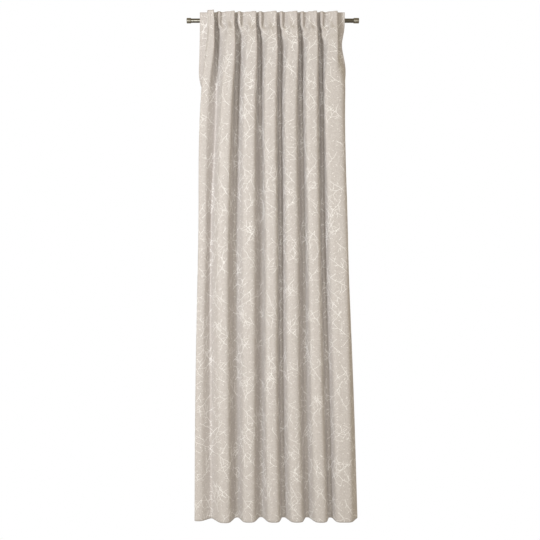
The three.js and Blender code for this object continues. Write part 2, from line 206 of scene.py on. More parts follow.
class CurtainCloth(bpy.types.PropertyGroup):
    """Sizes and colours of the cloth."""

    thickness: FloatProperty(
        name="Thickness", description="Thickness of one layer of the cloth",
        default=0.0012, min=0.0005, max=0.003, unit="LENGTH")
    hem_layer: FloatProperty(
        name="Hem layer", description="How far a hem's turned-in layer stands behind the cloth",
        default=0.0009, min=0.0, max=0.002, unit="LENGTH")
    cloth_colour: FloatVectorProperty(
        name="Cloth", description="Colour of the sand-toned ground weave",
        default=(0.475, 0.438, 0.422), size=3, min=0, max=1, subtype="COLOR")
    fleck_colour: FloatVectorProperty(
        name="Fleck", description="Colour of the paler threads in the ground weave",
        default=(0.56, 0.525, 0.51), size=3, min=0, max=1, subtype="COLOR")
    reverse_colour: FloatVectorProperty(
        name="Reverse", description="Colour of the plain reverse and the tabs",
        default=(0.49, 0.454, 0.425), size=3, min=0, max=1, subtype="COLOR")
    twig_colour: FloatVectorProperty(
        name="Twigs", description="Colour of the raised twig threads",
        default=(0.78, 0.765, 0.76), size=3, min=0, max=1, subtype="COLOR")
    stitch_colour: FloatVectorProperty(
        name="Stitching", description="Colour of the sewing thread",
        default=(0.52, 0.47, 0.41), size=3, min=0, max=1, subtype="COLOR")
    twig_seed: IntProperty(
        name="Twig seed", description="Seed of the twigs' layout", default=11, min=0)
    twig_rise: FloatProperty(
        name="Twig rise", description="How far the twig threads stand above the cloth",
        default=0.00045, min=0.0, max=0.002, unit="LENGTH")
    stitch_length: FloatProperty(
        name="Stitch length", description="Length of one stitch",
        default=0.0035, min=0.001, max=0.01, unit="LENGTH")


class CurtainRod(bpy.types.PropertyGroup):
    """Sizes and colours of the rod and its caps."""

    rod_colour: FloatVectorProperty(
        name="Rod", description="Colour of the rod's brushed metal",
        default=(0.15, 0.14, 0.12), size=3, min=0, max=1, subtype="COLOR")
    cap_colour: FloatVectorProperty(
        name="Caps", description="Colour of the caps' brushed metal",
        default=(0.235, 0.22, 0.185), size=3, min=0, max=1, subtype="COLOR")
    sides: IntProperty(
        name="Sides", description="Sides of the round pieces", default=96, min=24, max=256)
    wall: FloatProperty(
        name="Wall", description="Wall thickness of the rod's tube",
        default=0.001, min=0.0005, max=0.003, unit="LENGTH")
    end_wall: FloatProperty(
        name="Cap end wall", description="Thickness of a cap's closed end",
        default=0.004, min=0.001, max=0.01, unit="LENGTH")
    cap_clearance: FloatProperty(
        name="Cap clearance", description="Gap between a cap's bore and the rod",
        default=0.0003, min=0.0001, max=0.001, unit="LENGTH")
    outer_rounding: FloatProperty(
        name="Outer rounding", description="Rounding of a cap's outer edge",
        default=0.0015, min=0.0002, max=0.004, unit="LENGTH")
    inner_rounding: FloatProperty(
        name="Inner rounding", description="Rounding of a cap's edge on the rod",
        default=0.0008, min=0.0002, max=0.002, unit="LENGTH")


class CurtainStage(bpy.types.PropertyGroup):
    """Light and floor of the stage."""

    key_power: FloatProperty(
        name="Key light", description="Power of the key light, left of the camera",
        default=84, min=0, unit="POWER")
    key_size: FloatProperty(
        name="Key size", description="Side of the key light", default=0.8, min=0.1, unit="LENGTH")
    fill_power: FloatProperty(
        name="Fill light", description="Power of the soft light above the camera",
        default=55.5, min=0, unit="POWER")
    fill_size: FloatProperty(
        name="Fill size", description="Side of the soft light", default=2.0, min=0.1, unit="LENGTH")
    sky: FloatProperty(
        name="Sky", description="Strength of the even warm light from all round", default=0.59, min=0, max=2)
    floor_height: FloatProperty(
        name="Floor height", description="Height of the floor below the rod's axis",
        default=-2.5, unit="LENGTH")


# The hanging cloth

def smooth(t):
    """From 0 to 1 with level ends."""
    t = np.clip(t, 0.0, 1.0)
    return t * t * (3 - 2 * t)


def along_levels(row, heights):
    """A table row's values at the given heights, as one smooth curve through them."""
    known = np.array(HEIGHTS[::-1], float)
    value = np.array(row[:len(HEIGHTS)][::-1], float)
    at = np.clip(heights, known[0], known[-1])
    slope = np.diff(value) / np.diff(known)
    lean = np.concatenate([[slope[0]], (slope[:-1] + slope[1:]) / 2, [0.0]])
    n = np.clip(np.searchsorted(known, at) - 1, 0, len(known) - 2)
    span = known[n + 1] - known[n]
    t = (at - known[n]) / span
    return (value[n] * (1 + 2 * t) * (1 - t) ** 2 + lean[n] * span * t * (1 - t) ** 2
            + value[n + 1] * t * t * (3 - 2 * t) + lean[n + 1] * span * t * t * (t - 1))


def between_levels(row, heights):
    """A table row's values at the given heights, straight from level to level."""
    return np.interp(-heights, -np.array(HEIGHTS), row)


def shapes_at(heights):
    """The fold shape at each height, one column array for each of its sizes."""
    table = np.array(SHAPES)
    return Shape(*(np.interp(-heights, -table[:, 0], column)[:, None] for column in table.T))


def crease_turn(places, heights):
    """The turn that creases and ridges give the cloth at each flat place, a row for each height."""
    turn = np.zeros(np.broadcast(places, heights[:, None]).shape)
    for crease in CREASES:
        off = (places - TAB_PLACES[crease.fold - 1] - crease.at) / crease.half
        left = 1 - smooth((crease.fades - heights) / (crease.fades - crease.ends))
        turn += crease.turn * left[:, None] * off * np.exp((1 - off * off) / 2)
    return turn


def half_shape(shape, heights, n, way):
    """The shape of a fold's left half, with way 1, or right half, with way -1."""
    valley, front = VALLEYS[n if way > 0 else n + 1], FRONTS[n]
    late = front.late * (1 - gone(heights, *LATE_GONE))[:, None] if way > 0 else 0
    return shape._replace(
        valley=shape.valley * valley.flat + late, valley_turn=shape.valley_turn * valley.flat,
        front=shape.front * front.flat, front_turn=shape.front_turn * front.flat)


def wall_share(distance, length, shape):
    """How much of the wall's turn a half fold has at a distance from its valley's middle."""
    rises = smooth((distance - shape.valley + shape.valley_turn) / (2 * shape.valley_turn))
    falls = smooth((distance - length + shape.front + shape.front_turn) / (2 * shape.front_turn))
    return rises * (1 - falls)


class HalfFold:
    """The cloth from a tab to a front: left of the front with way 1, right of it with way -1."""

    def __init__(self, heights, shape, tab, way, across):
        self.heights, self.shape, self.tab, self.way, self.across = heights, shape, tab, way, across

    def reach(self, length, wall):
        """How far it reaches across and forward with a wall that turns so far."""
        share = (np.arange(HALF_SAMPLES) + 0.5) / HALF_SAMPLES
        distance = share * length[:, None]
        turn = wall[:, None] * wall_share(distance, length[:, None], self.shape)
        turn += self.way * crease_turn(self.tab + self.way * distance, self.heights)
        return np.cos(turn).mean(1) * length, np.sin(turn).mean(1) * length

    def wall(self, length):
        """The wall's turn that makes it reach as far across as its front is from its tab."""
        return halve(0.0, STEEPEST_WALL, self.heights,
                     lambda wall: self.reach(length, wall)[0] > self.across)

    def forward(self, length):
        return self.reach(length, self.wall(length))[1]


def halve(low, high, heights, too_low):
    """The value between low and high, at each height, where too_low turns false."""
    low, high = np.full_like(heights, low), np.full_like(heights, high)
    for _ in range(HALVINGS):
        middle = (low + high) / 2
        below = too_low(middle)
        low = np.where(below, middle, low)
        high = np.where(below, high, middle)
    return (low + high) / 2


def edge_turn(edge, distance, heights):
    """A side edge's turn to the back at a distance outside its fold's front."""
    turn = np.radians(between_levels(edge.turns, heights))[:, None]
    length = between_levels(edge.lengths, heights)[:, None]
    return turn * smooth((distance - edge.outside) / length)


def gone(heights, starts, over):
    """How far a change that starts at a height has come about, from 0 to 1."""
    return smooth((starts - heights) / over)


def cloth_turns(heights, places):
    """The cloth's turn from facing the front, at each flat place, a row for each height."""
    shape = shapes_at(heights)
    fronts = [along_levels(front, heights) for front in FRONTS]
    valleys = [along_levels(valley, heights) for valley in VALLEYS]
    back = [TAB_Y + (valley.back - TAB_Y) * gone(heights, *DROP_BACK) for valley in VALLEYS]
    creased = crease_turn(places, heights)
    turns = np.zeros((len(heights), len(places)))
    last = len(FRONTS) - 1
    for n, front in enumerate(fronts):
        start, end, cloth = TAB_PLACES[n], TAB_PLACES[n + 1], TAB_SPACING[n]
        left_shape, right_shape = (half_shape(shape, heights, n, way) for way in (1, -1))
        left = HalfFold(heights, left_shape, start, 1, front - valleys[n])
        right = HalfFold(heights, right_shape, end, -1, valleys[n + 1] - front)
        least, most = (share * cloth for share in HALF_SHARE)
        length = halve(least, most, heights, lambda part: (
            back[n] - left.forward(part) > back[n + 1] - right.forward(cloth - part)))
        if n == 0:
            turned = gone(heights, LEFT_EDGE.starts, LEFT_EDGE.over)
            least, most = (share * cloth for share in FIRST_SHARE)
            free = halve(least, most, heights, lambda part: (
                back[1] - right.forward(cloth - part) < FIRST_FRONT_Y))
            length = length + (free - length) * turned
        if n == last:
            turned = gone(heights, RIGHT_EDGE.starts, RIGHT_EDGE.over)
            length = length + (cloth * LAST_SHARE - length) * turned
        middle = (start + length)[:, None]
        left_turn = left.wall(length)[:, None] * wall_share(places - start, length[:, None], left_shape)
        right_turn = right.wall(cloth - length)[:, None] * wall_share(
            end - places, (cloth - length)[:, None], right_shape)
        turns = np.where((places >= start) & (places < middle), left_turn + creased, turns)
        turns = np.where((places >= middle) & (places < end), creased - right_turn, turns)
        if n == 0:
            flap = edge_turn(LEFT_EDGE, middle - places, heights)
            flap = flap + radians(LEFT_CURL[0]) * (1 - smooth((places - SIDE_FLAP) / LEFT_CURL[1]))
            blended = turns + (flap - turns) * turned[:, None]
            turns = np.where(places < middle, blended, turns)
        if n == last:
            flap = -edge_turn(RIGHT_EDGE, places - middle, heights)
            blended = turns + (flap - turns) * turned[:, None]
            turns = np.where(places >= middle, blended, turns)
    return turns, valleys[1], back[1]


def hanging_sections(heights, columns):
    """The middle of the cloth at each height and column, in millimetres: x, y and its turn."""
    steps = int(FLAT_WIDTH / SECTION_STEP)
    places = (np.arange(steps) + 0.5) * SECTION_STEP
    turns, anchor_x, anchor_y = cloth_turns(heights, places)
    start = np.zeros((len(heights), 1))
    x = np.concatenate([start, np.cumsum(np.cos(turns), 1) * SECTION_STEP], 1)
    y = np.concatenate([start, -np.cumsum(np.sin(turns), 1) * SECTION_STEP], 1)
    edges = np.arange(steps + 1) * SECTION_STEP
    anchor = int(TAB_PLACES[1] / SECTION_STEP)
    x += (anchor_x - x[:, anchor])[:, None]
    y += (anchor_y - y[:, anchor])[:, None]
    pick = lambda rows, at: np.array([np.interp(columns, at, row) for row in rows])
    return pick(x, edges), pick(y, edges), pick(turns, places)


class Surface:
    """The middle of a sheet: flat columns and rows in millimetres, points in metres and normals."""

    def __init__(self, columns, rows, points, normals):
        self.columns, self.rows, self.points, self.normals = columns, rows, points, normals

    def at(self, across, down, offset):
        """Points at flat places, offset in metres along the normals, on the facets between the columns."""
        falling = self.rows[0] > self.rows[-1]
        rows = -self.rows if falling else self.rows
        down = -down if falling else down
        c = np.clip(np.searchsorted(self.columns, across) - 1, 0, len(self.columns) - 2)
        r = np.clip(np.searchsorted(rows, down) - 1, 0, len(rows) - 2)
        u = ((across - self.columns[c]) / (self.columns[c + 1] - self.columns[c]))[:, None]
        v = ((down - rows[r]) / (rows[r + 1] - rows[r]))[:, None]
        found = []
        for grid in (self.points, self.normals):
            upper = grid[r, c] * (1 - u) + grid[r, c + 1] * u
            lower = grid[r + 1, c] * (1 - u) + grid[r + 1, c + 1] * u
            found.append(upper * (1 - v) + lower * v)
        point, normal = found
        return point + normal / np.linalg.norm(normal, axis=1)[:, None] * offset


def panel_rows():
    """The heights of the panel's rows, from the top edge to the hem, closer where the hem is sewn."""
    rows = []
    for band in BANDS:
        count = round((band.top - band.bottom) / band.step)
        rows.extend(np.linspace(band.top, band.bottom, count + 1)[:-1])
    seam = HEM + BOTTOM_HEM
    rows = [row for row in rows if abs(row - seam) > HEM_STEP]
    rows += [seam - HEM_STEP / 2, seam, seam + HEM_STEP / 2, HEM]
    return np.array(sorted(rows, reverse=True))


@cache
def panel_surface():
    """The hanging panel's middle surface."""
    count = round(FLAT_WIDTH / COLUMN_STEP)
    columns = np.linspace(0, FLAT_WIDTH, count + 1)
    rows = panel_rows()
    x, y, turn = hanging_sections(rows, columns)
    z = np.repeat(rows[:, None], len(columns), 1)
    points = np.stack([x, y, z], -1) * MM
    normals = np.stack([-np.sin(turn), -np.cos(turn), np.zeros_like(turn)], -1)
    return Surface(columns, rows, points, normals)


def strap_surface(x):
    """A tab's middle surface: sewn flat above the rod, over it, down behind it and sewn flat again."""
    radius = -STRAP_Y
    leaves = atan2(STRAP["leaves"], STRAP_Y) - acos(radius / hypot(STRAP_Y, STRAP["leaves"]))
    returns = atan2(STRAP["returns"], STRAP_Y) + acos(radius / hypot(STRAP_Y, STRAP["returns"]))
    corners = [(STRAP_Y, STRAP["top"]), (STRAP_Y, STRAP["leaves"])]
    arc = [(radius * cos(a), radius * sin(a)) for a in np.linspace(leaves, returns, STRAP_ARC_POINTS)]
    corners += arc + [(STRAP_Y, STRAP["returns"]), (STRAP_Y, STRAP["bottom"])]
    line = np.array(corners)
    run = np.concatenate([[0], np.cumsum(np.hypot(*np.diff(line, axis=0).T))])
    rows = np.linspace(0, run[-1], round(run[-1] / STRAP_STEP) + 1)
    y, z = np.interp(rows, run, line[:, 0]), np.interp(rows, run, line[:, 1])
    dy, dz = np.gradient(y), np.gradient(z)
    size = np.hypot(dy, dz)
    columns = np.linspace(-STRAP["width"] / 2, STRAP["width"] / 2, STRAP_COLUMNS)
    shape = (len(rows), len(columns))
    grid = [np.broadcast_to(x + columns, shape)]
    grid += [np.broadcast_to(value[:, None], shape) for value in (y, z)]
    normal = [np.zeros(shape)]
    normal += [np.broadcast_to(value[:, None], shape) for value in (-dz / size, dy / size)]
    return Surface(columns, rows, np.stack(grid, -1) * MM, np.stack(normal, -1))


# Meshes

def new_object(name, vertices, faces):
    """A new mesh object in the scene, at the origin, from an array of vertices and lists of their numbers."""
    mesh = bpy.data.meshes.new(name)
    mesh.from_pydata(vertices.tolist(), [], faces)
    made = bpy.data.objects.new(name, mesh)
    bpy.context.scene.collection.objects.link(made)
    return made


def set_map(mesh, name, places):
    """Writes a flat map from one place for each face corner."""
    layer = mesh.uv_layers.new(name=name)
    layer.data.foreach_set("uv", np.asarray(places, np.float32).ravel())


class Span(namedtuple("Span", "start length")):
    """A stretch of the bake map's side."""

    def at(self, share):
        return self.start + self.length * share


# The bake map's places for a sheet's front, back and rim, side by side.
BAKE_FRONT, BAKE_BACK, BAKE_RIM = Span(0.01, 0.60), Span(0.63, 0.33), Span(0.97, 0.02)
BAKE_HEIGHT = Span(0.01, 0.98)


def sheet_object(name, surface, front, back):
    """A closed sheet: front and back layers so far from the middle surface, joined along the four edges."""
    rows, columns = surface.points.shape[:2]
    size = rows * columns
    layers = [surface.points + surface.normals * front[..., None],
              surface.points - surface.normals * back[..., None]]
    vertices = np.concatenate([layer.reshape(-1, 3) for layer in layers])
    index = np.arange(size).reshape(rows, columns)
    a, b, c, d = index[:-1, :-1], index[1:, :-1], index[1:, 1:], index[:-1, 1:]
    front_faces = np.stack([a, b, c, d], -1).reshape(-1, 4)
    back_faces = front_faces[:, ::-1] + size
    rim = np.concatenate([index[0, ::-1], index[1:, 0], index[-1, 1:], index[-2:0:-1, -1]])
    follow = np.roll(rim, -1)
    rim_faces = np.stack([rim, rim + size, follow + size, follow], -1)
    faces = np.concatenate([front_faces, back_faces, rim_faces])
    made = new_object(name, vertices, faces.tolist())
    mesh = made.data
    flat = np.stack(np.meshgrid(surface.columns, surface.rows), -1).reshape(-1, 2) * MM
    corners = faces.ravel()
    set_map(mesh, "flat_cloth", flat[corners % size])
    low, high = flat.min(0), flat.max(0)
    place = (flat[corners % size] - low) / (high - low)
    across = np.where(corners < size, BAKE_FRONT.at(place[:, 0]), BAKE_BACK.at(place[:, 0]))
    rim_start = len(faces) * 4 - len(rim_faces) * 4
    across[rim_start:] = BAKE_RIM.at(corners[rim_start:] >= size)
    down = BAKE_HEIGHT.at(place[:, 1])
    step = np.repeat(np.arange(len(rim_faces)), 4) + np.tile([0, 0, 1, 1], len(rim_faces))
    down[rim_start:] = BAKE_HEIGHT.at(step / len(rim_faces))
    set_map(mesh, "OFBake", np.stack([across, down], -1))
    smooth_faces = np.ones(len(faces), bool)
    smooth_faces[len(front_faces) * 2:] = False
    mesh.polygons.foreach_set("use_smooth", smooth_faces)
    reverse = np.zeros(len(faces), np.int32)
    reverse[len(front_faces):len(front_faces) * 2] = 1
    mesh.polygons.foreach_set("material_index", reverse)
    return made


Run = namedtuple("Run", "places widths")


def raised_object(name, parts):
    """One mesh of thin raised threads. Each part is a surface, its side, its runs and their rise and sink."""
    vertices, faces = [], []
    first = 0
    for surface, side, runs, rise, sink, half in parts:
        for run in runs:
            places, widths = np.asarray(run.places, float), np.asarray(run.widths, float)
            ahead = np.gradient(places, axis=0)
            ahead /= np.linalg.norm(ahead, axis=1)[:, None]
            beside = np.stack([-ahead[:, 1], ahead[:, 0]], 1) * widths[:, None] / 2
            low = side * (half - sink)
            high = side * (half + rise)
            for offset, height in ((beside, low), (-beside, low), (0, high)):
                at = places + offset
                vertices.append(surface.at(at[:, 0], at[:, 1], height))
            count = len(places)
            n = np.arange(count - 1)
            left, right, ridge = first + n, first + count + n, first + 2 * count + n
            quads = [(left, ridge, ridge + 1, left + 1), (ridge, right, right + 1, ridge + 1),
                     (left, left + 1, right + 1, right)]
            caps = [(first, first + count, first + 2 * count),
                    (first + count - 1, first + 3 * count - 1, first + 2 * count - 1)]
            for quad in quads:
                found = np.stack(quad, -1)
                faces.extend((found if side > 0 else found[:, ::-1]).tolist())
            faces.extend(cap if side > 0 else cap[::-1] for cap in caps)
            first += 3 * count
    return new_object(name, np.concatenate(vertices), faces)


# Twigs

# The main twigs, their side shoots and the shoots' own shoots: length, the step from knot to knot, how much
# they swing at a knot, their width at the foot and at the tip, and how often a knot carries a shoot.
Growth = namedtuple("Growth", "length step swing foot tip shoots")
GROWTHS = [
    Growth((45, 135), (15, 30), (3, 13), 2.9, 2.2, 0.8),
    Growth((12, 36), (10, 19), (3, 15), 2.5, 1.9, 0.35),
    Growth((6, 16), (6, 11), (3, 15), 2.3, 1.8, 0.0),
]

# How far a shoot turns from its twig and a twig leans from the upright, in degrees, how far apart the main
# twigs start and how far astray, as a share of that, and the bud that some runs end in.
SHOOT_ANGLES = (35, 75)
TWIG_LEANS = (25, 62)
TWIG_SPACING = 73.0
TWIG_STRAY = 0.25
BUD = {"length": 5.5, "width": 3.8, "tip": 0.8, "often": 0.5}

# The longest step of a run's mesh, and the bare edge that the twigs leave.
TWIG_RESAMPLE = 7.5
TWIG_EDGE = 3.0

# Loose flecks between the twigs: how far apart they lie and astray, their lengths and their width.
FLECK_SPACING = 33.0
FLECK_STRAY = 0.45
FLECK_LENGTHS = (4, 14)
FLECK_WIDTH = 3.2
FLECK_ENDS = 0.5


def grow(draw, start, heading, order, found):
    """Adds a twig's runs: straight steps that swing from side to side, with shoots at the knots."""
    kind = GROWTHS[order]
    reach = draw.uniform(*kind.length)
    point, angle = np.array(start, float), heading
    side = draw.choice((-1, 1))
    line, travelled = [point], 0.0
    while travelled < reach:
        step = draw.uniform(*kind.step)
        angle = heading + side * radians(draw.uniform(*kind.swing))
        point = point + step * np.array([cos(angle), sin(angle)])
        line.append(point)
        travelled += step
        if draw.random() < kind.shoots and travelled < reach:
            turn = side * radians(draw.uniform(*SHOOT_ANGLES))
            grow(draw, point, heading + turn, order + 1, found)
        side = -side
    widths = np.linspace(kind.foot, kind.tip, len(line))
    found.append(Run(line, widths))
    if draw.random() < BUD["often"]:
        ahead = np.array([cos(angle), sin(angle)]) * BUD["length"] / 2
        found.append(Run([point, point + ahead, point + 2 * ahead], [kind.tip, BUD["width"], BUD["tip"]]))


def scattered(draw, spacing, stray):
    """Places all over the flat cloth, in rows that are shifted by turns, each place so far astray."""
    for row in range(int((TOP - HEM) // spacing) + 2):
        for column in range(int(FLAT_WIDTH // spacing) + 2):
            across, down = draw.uniform(-stray, stray, 2) + (column + row % 2 / 2, row)
            yield across * spacing, TOP - down * spacing


def twig_runs(seed):
    """All twigs and flecks on the flat cloth, in a loose even scatter that leans left and right by turns."""
    draw = np.random.default_rng(seed)
    found = []
    for place in scattered(draw, TWIG_SPACING, TWIG_STRAY):
        lean = radians(draw.uniform(*TWIG_LEANS)) * draw.choice((-1, 1))
        grow(draw, place, pi / 2 + lean + draw.choice((0, pi)), 0, found)
    for place in scattered(draw, FLECK_SPACING, FLECK_STRAY):
        angle = pi / 2 + radians(draw.uniform(*TWIG_LEANS)) * draw.choice((-1, 1))
        ahead = np.array([cos(angle), sin(angle)]) * draw.uniform(*FLECK_LENGTHS) / 2
        widths = np.array([FLECK_ENDS, 1, FLECK_ENDS]) * FLECK_WIDTH
        found.append(Run([place, place + ahead, place + 2 * ahead], widths))
    return found


def resampled(run):
    """A run with points close enough to follow the folds, cut where it leaves the cloth."""
    line = np.array(run.places)
    length = np.concatenate([[0], np.cumsum(np.hypot(*np.diff(line, axis=0).T))])
    extra = np.arange(TWIG_RESAMPLE, length[-1], TWIG_RESAMPLE)
    near = np.abs(extra[:, None] - length[None, :]).min(1) < TWIG_RESAMPLE / 3
    at = np.sort(np.concatenate([length, extra[~near]]))
    places = np.stack([np.interp(at, length, line[:, n]) for n in (0, 1)], 1)
    widths = np.interp(at, length, run.widths)
    inside = ((places[:, 0] > TWIG_EDGE) & (places[:, 0] < FLAT_WIDTH - TWIG_EDGE)
              & (places[:, 1] < TOP - TWIG_EDGE) & (places[:, 1] > HEM + TWIG_EDGE))
    pieces = []
    for part in np.split(np.arange(len(at)), np.where(np.diff(inside))[0] + 1):
        if inside[part[0]] and len(part) > 1:
            pieces.append(Run(places[part], widths[part]))
    return pieces


# Stitching

# A stitch's pitch and where the first one starts, in stitch lengths, and its places and widths from end to
# end. Then, in millimetres, the thread's width, how far a hem's seam ends from the edge, and how far the
# tabs' side seams and end seams lie from it.
STITCH_PITCH = 1.5
STITCH_START = 0.17
STITCH_PLACES = np.array([0, 0.25, 0.75, 1])
STITCH_WIDTHS = np.array([0.3, 1, 1, 0.3])
THREAD_WIDTH = 0.9
SEAM_END = 2.0
TAB_SEAM = 3.0
TAB_END_SEAM = 2.5

# How far threads rise at the front and at the back, and sink into the cloth, in metres.
FRONT_RISE = 0.0001
BACK_RISE = 0.0003
THREAD_SINK = 0.0002


def stitches(start, end, length, width):
    """Runs for a row of stitches between two flat places, with gaps of half a stitch."""
    start, end = np.array(start, float), np.array(end, float)
    span = np.linalg.norm(end - start)
    count = max(2, round(span / (STITCH_PITCH * length)))
    ahead = (end - start) / span
    found = []
    for n in range(count):
        at = start + ahead * span * (n + STITCH_START) / count
        found.append(Run(at + STITCH_PLACES[:, None] * length * ahead, STITCH_WIDTHS * width))
    return found


# Materials

def new_material(name):
    material = bpy.data.materials.new(name)
    material.use_nodes = True
    tree = material.node_tree
    return material, tree, tree.nodes["Principled BSDF"]


def node(tree, kind, **settings):
    made = tree.nodes.new(kind)
    for name, value in settings.items():
        setattr(made, name, value)
    return made


def flat_place(tree):
    """The place on the flat cloth in metres."""
    return node(tree, "ShaderNodeUVMap", uv_map="flat_cloth").outputs["UV"]


def stretched_noise(tree, place, scale, detail=2.0):
    """Noise whose grains are stretched by a scale for each direction."""
    mapping = node(tree, "ShaderNodeMapping")
    mapping.inputs["Scale"].default_value = scale
    tree.links.new(place, mapping.inputs["Vector"])
    noise = node(tree, "ShaderNodeTexNoise")
    noise.inputs["Scale"].default_value = 1.0
    noise.inputs["Detail"].default_value = detail
    tree.links.new(mapping.outputs["Vector"], noise.inputs["Vector"])
    return noise.outputs["Fac"]


def combined(tree, operation, *values):
    """A Math node on values that are each a socket or a number."""
    made = node(tree, "ShaderNodeMath", operation=operation)
    for socket, value in zip(made.inputs, values):
        if isinstance(value, (int, float)):
            socket.default_value = value
        else:
            tree.links.new(value, socket)
    return made.outputs["Value"]


def plain_weave(tree, place, thread):
    """Height of a plain weave whose threads are so wide: crossings that stand up by turns."""
    parts = node(tree, "ShaderNodeSeparateXYZ")
    tree.links.new(place, parts.inputs["Vector"])
    waves = []
    for axis in ("X", "Y"):
        angle = combined(tree, "MULTIPLY", parts.outputs[axis], pi / thread)
        waves.append(combined(tree, "SINE", angle))
    return combined(tree, "MULTIPLY", *waves)


def mixed_colour(tree, factor, first, second):
    """A colour between two, by a factor."""
    made = node(tree, "ShaderNodeMix", data_type="RGBA")
    by_name = {socket.identifier: socket for socket in made.inputs}
    by_name["A_Color"].default_value = (*first, 1)
    by_name["B_Color"].default_value = (*second, 1)
    tree.links.new(factor, by_name["Factor_Float"])
    return next(socket for socket in made.outputs if socket.identifier == "Result_Color")


def eased(tree, value, low, high):
    """From 0 at a low value to 1 at a high one."""
    made = node(tree, "ShaderNodeMapRange", interpolation_type="SMOOTHSTEP")
    made.inputs["From Min"].default_value = low
    made.inputs["From Max"].default_value = high
    tree.links.new(value, made.inputs["Value"])
    return made.outputs["Result"]


def set_surface(shader, **values):
    """Sets the shader's inputs, with spaces in their names written as underscores."""
    for name, value in values.items():
        shader.inputs[name.replace("_", " ")].default_value = value


def add_bump(tree, shader, height, strength, distance):
    bump = node(tree, "ShaderNodeBump")
    bump.inputs["Strength"].default_value = strength
    bump.inputs["Distance"].default_value = distance
    tree.links.new(height, bump.inputs["Height"])
    tree.links.new(bump.outputs["Normal"], shader.inputs["Normal"])


# The fine lines in the ground weave: how far they are bent and their width, in metres, the numbers of cells
# in a metre, how much finer the bends are, and between which values of a noise the lines come out.
LINE_BEND = 0.02
LINE_WIDTH = 0.0011
LINE_CELLS = (32, 55)
BEND_FINENESS = 1.5
LINES_SHOW = (0.45, 0.6)


def faint_twigs(tree, place, scale):
    """Broken thin lines like small twigs in the ground weave, from the borders of bent cells."""
    bend = node(tree, "ShaderNodeVectorMath", operation="MULTIPLY_ADD")
    bend.inputs[1].default_value = (LINE_BEND, LINE_BEND, 0)
    stray = node(tree, "ShaderNodeTexNoise")
    stray.inputs["Scale"].default_value = scale * BEND_FINENESS
    tree.links.new(place, stray.inputs["Vector"])
    tree.links.new(stray.outputs["Color"], bend.inputs[0])
    tree.links.new(place, bend.inputs[2])
    cells = node(tree, "ShaderNodeTexVoronoi", feature="DISTANCE_TO_EDGE")
    cells.inputs["Scale"].default_value = scale
    tree.links.new(bend.outputs["Vector"], cells.inputs["Vector"])
    line = eased(tree, cells.outputs["Distance"], LINE_WIDTH * scale, 0)
    shown = eased(tree, stretched_noise(tree, place, (scale, scale, 1)), *LINES_SHOW)
    return combined(tree, "MULTIPLY", line, shown)


# The cloth's thread width in metres, and the grains in a metre of its long threads, its clouds and its
# mottling.
THREAD = 0.0009
SLUB_GRAINS = (60, 1400)
CLOUD_GRAINS = (9, 6, 1)
MOTTLE_GRAINS = (170, 170, 1)


def cloth_material(name, ground, fleck, lines=0.0):
    """Dense woven cloth: a plain weave with thick and thin threads, mixed tones and faint lines."""
    material, tree, shader = new_material(name)
    place = flat_place(tree)
    weave = plain_weave(tree, place, THREAD)
    across = stretched_noise(tree, place, (*SLUB_GRAINS, 1))
    down = stretched_noise(tree, place, (*reversed(SLUB_GRAINS), 1))
    slub = combined(tree, "ADD", across, down)
    tone = stretched_noise(tree, place, CLOUD_GRAINS, detail=4)
    factor = combined(tree, "MULTIPLY_ADD", slub, 0.55, -0.35)
    blend = combined(tree, "ADD", factor, combined(tree, "MULTIPLY", tone, 0.3))
    if lines:
        coarse = stretched_noise(tree, place, MOTTLE_GRAINS, detail=1)
        blend = combined(tree, "ADD", blend, combined(tree, "MULTIPLY_ADD", coarse, 3.0, -1.5))
        drawn = [faint_twigs(tree, place, scale) for scale in LINE_CELLS]
        drawn = combined(tree, "MULTIPLY", combined(tree, "MAXIMUM", *drawn), lines)
        blend = combined(tree, "ADD", blend, drawn)
    tree.links.new(mixed_colour(tree, blend, ground, fleck), shader.inputs["Base Color"])
    height = combined(tree, "ADD", weave, slub)
    add_bump(tree, shader, height, 0.35, 0.00025)
    set_surface(shader, Roughness=0.88, Sheen_Weight=0.12, Sheen_Roughness=0.5, Specular_IOR_Level=0.3)
    return material


def thread_material(name, colour, pale):
    """Loose shiny threads, drawn by their place on the object."""
    material, tree, shader = new_material(name)
    place = node(tree, "ShaderNodeTexCoord").outputs["Object"]
    tone = stretched_noise(tree, place, (160, 160, 160), detail=3)
    tree.links.new(mixed_colour(tree, tone, colour, pale), shader.inputs["Base Color"])
    fibre = stretched_noise(tree, place, (2400, 2400, 2400))
    add_bump(tree, shader, fibre, 0.3, 0.0001)
    set_surface(shader, Roughness=0.6, Sheen_Weight=0.2, Specular_IOR_Level=0.4)
    return material


ROUGHNESS_SPREAD = 0.18


def brushed_metal(name, colour, roughness):
    """Metal brushed along the rod, a little worn and uneven."""
    material, tree, shader = new_material(name)
    place = node(tree, "ShaderNodeTexCoord").outputs["Object"]
    brushing = stretched_noise(tree, place, (25, 4200, 4200), detail=3)
    cloud = stretched_noise(tree, place, (14, 60, 60), detail=3)
    factor = combined(tree, "ADD", combined(tree, "MULTIPLY", brushing, 0.6),
                      combined(tree, "MULTIPLY", cloud, 0.4))
    pale = [min(1, 1.25 * part) for part in colour]
    dark = [0.8 * part for part in colour]
    tree.links.new(mixed_colour(tree, factor, dark, pale), shader.inputs["Base Color"])
    rough = combined(tree, "MULTIPLY_ADD", brushing, ROUGHNESS_SPREAD, roughness - ROUGHNESS_SPREAD / 2)
    tree.links.new(rough, shader.inputs["Roughness"])
    add_bump(tree, shader, brushing, 0.15, 0.00005)
    set_surface(shader, Metallic=1.0)
    return material


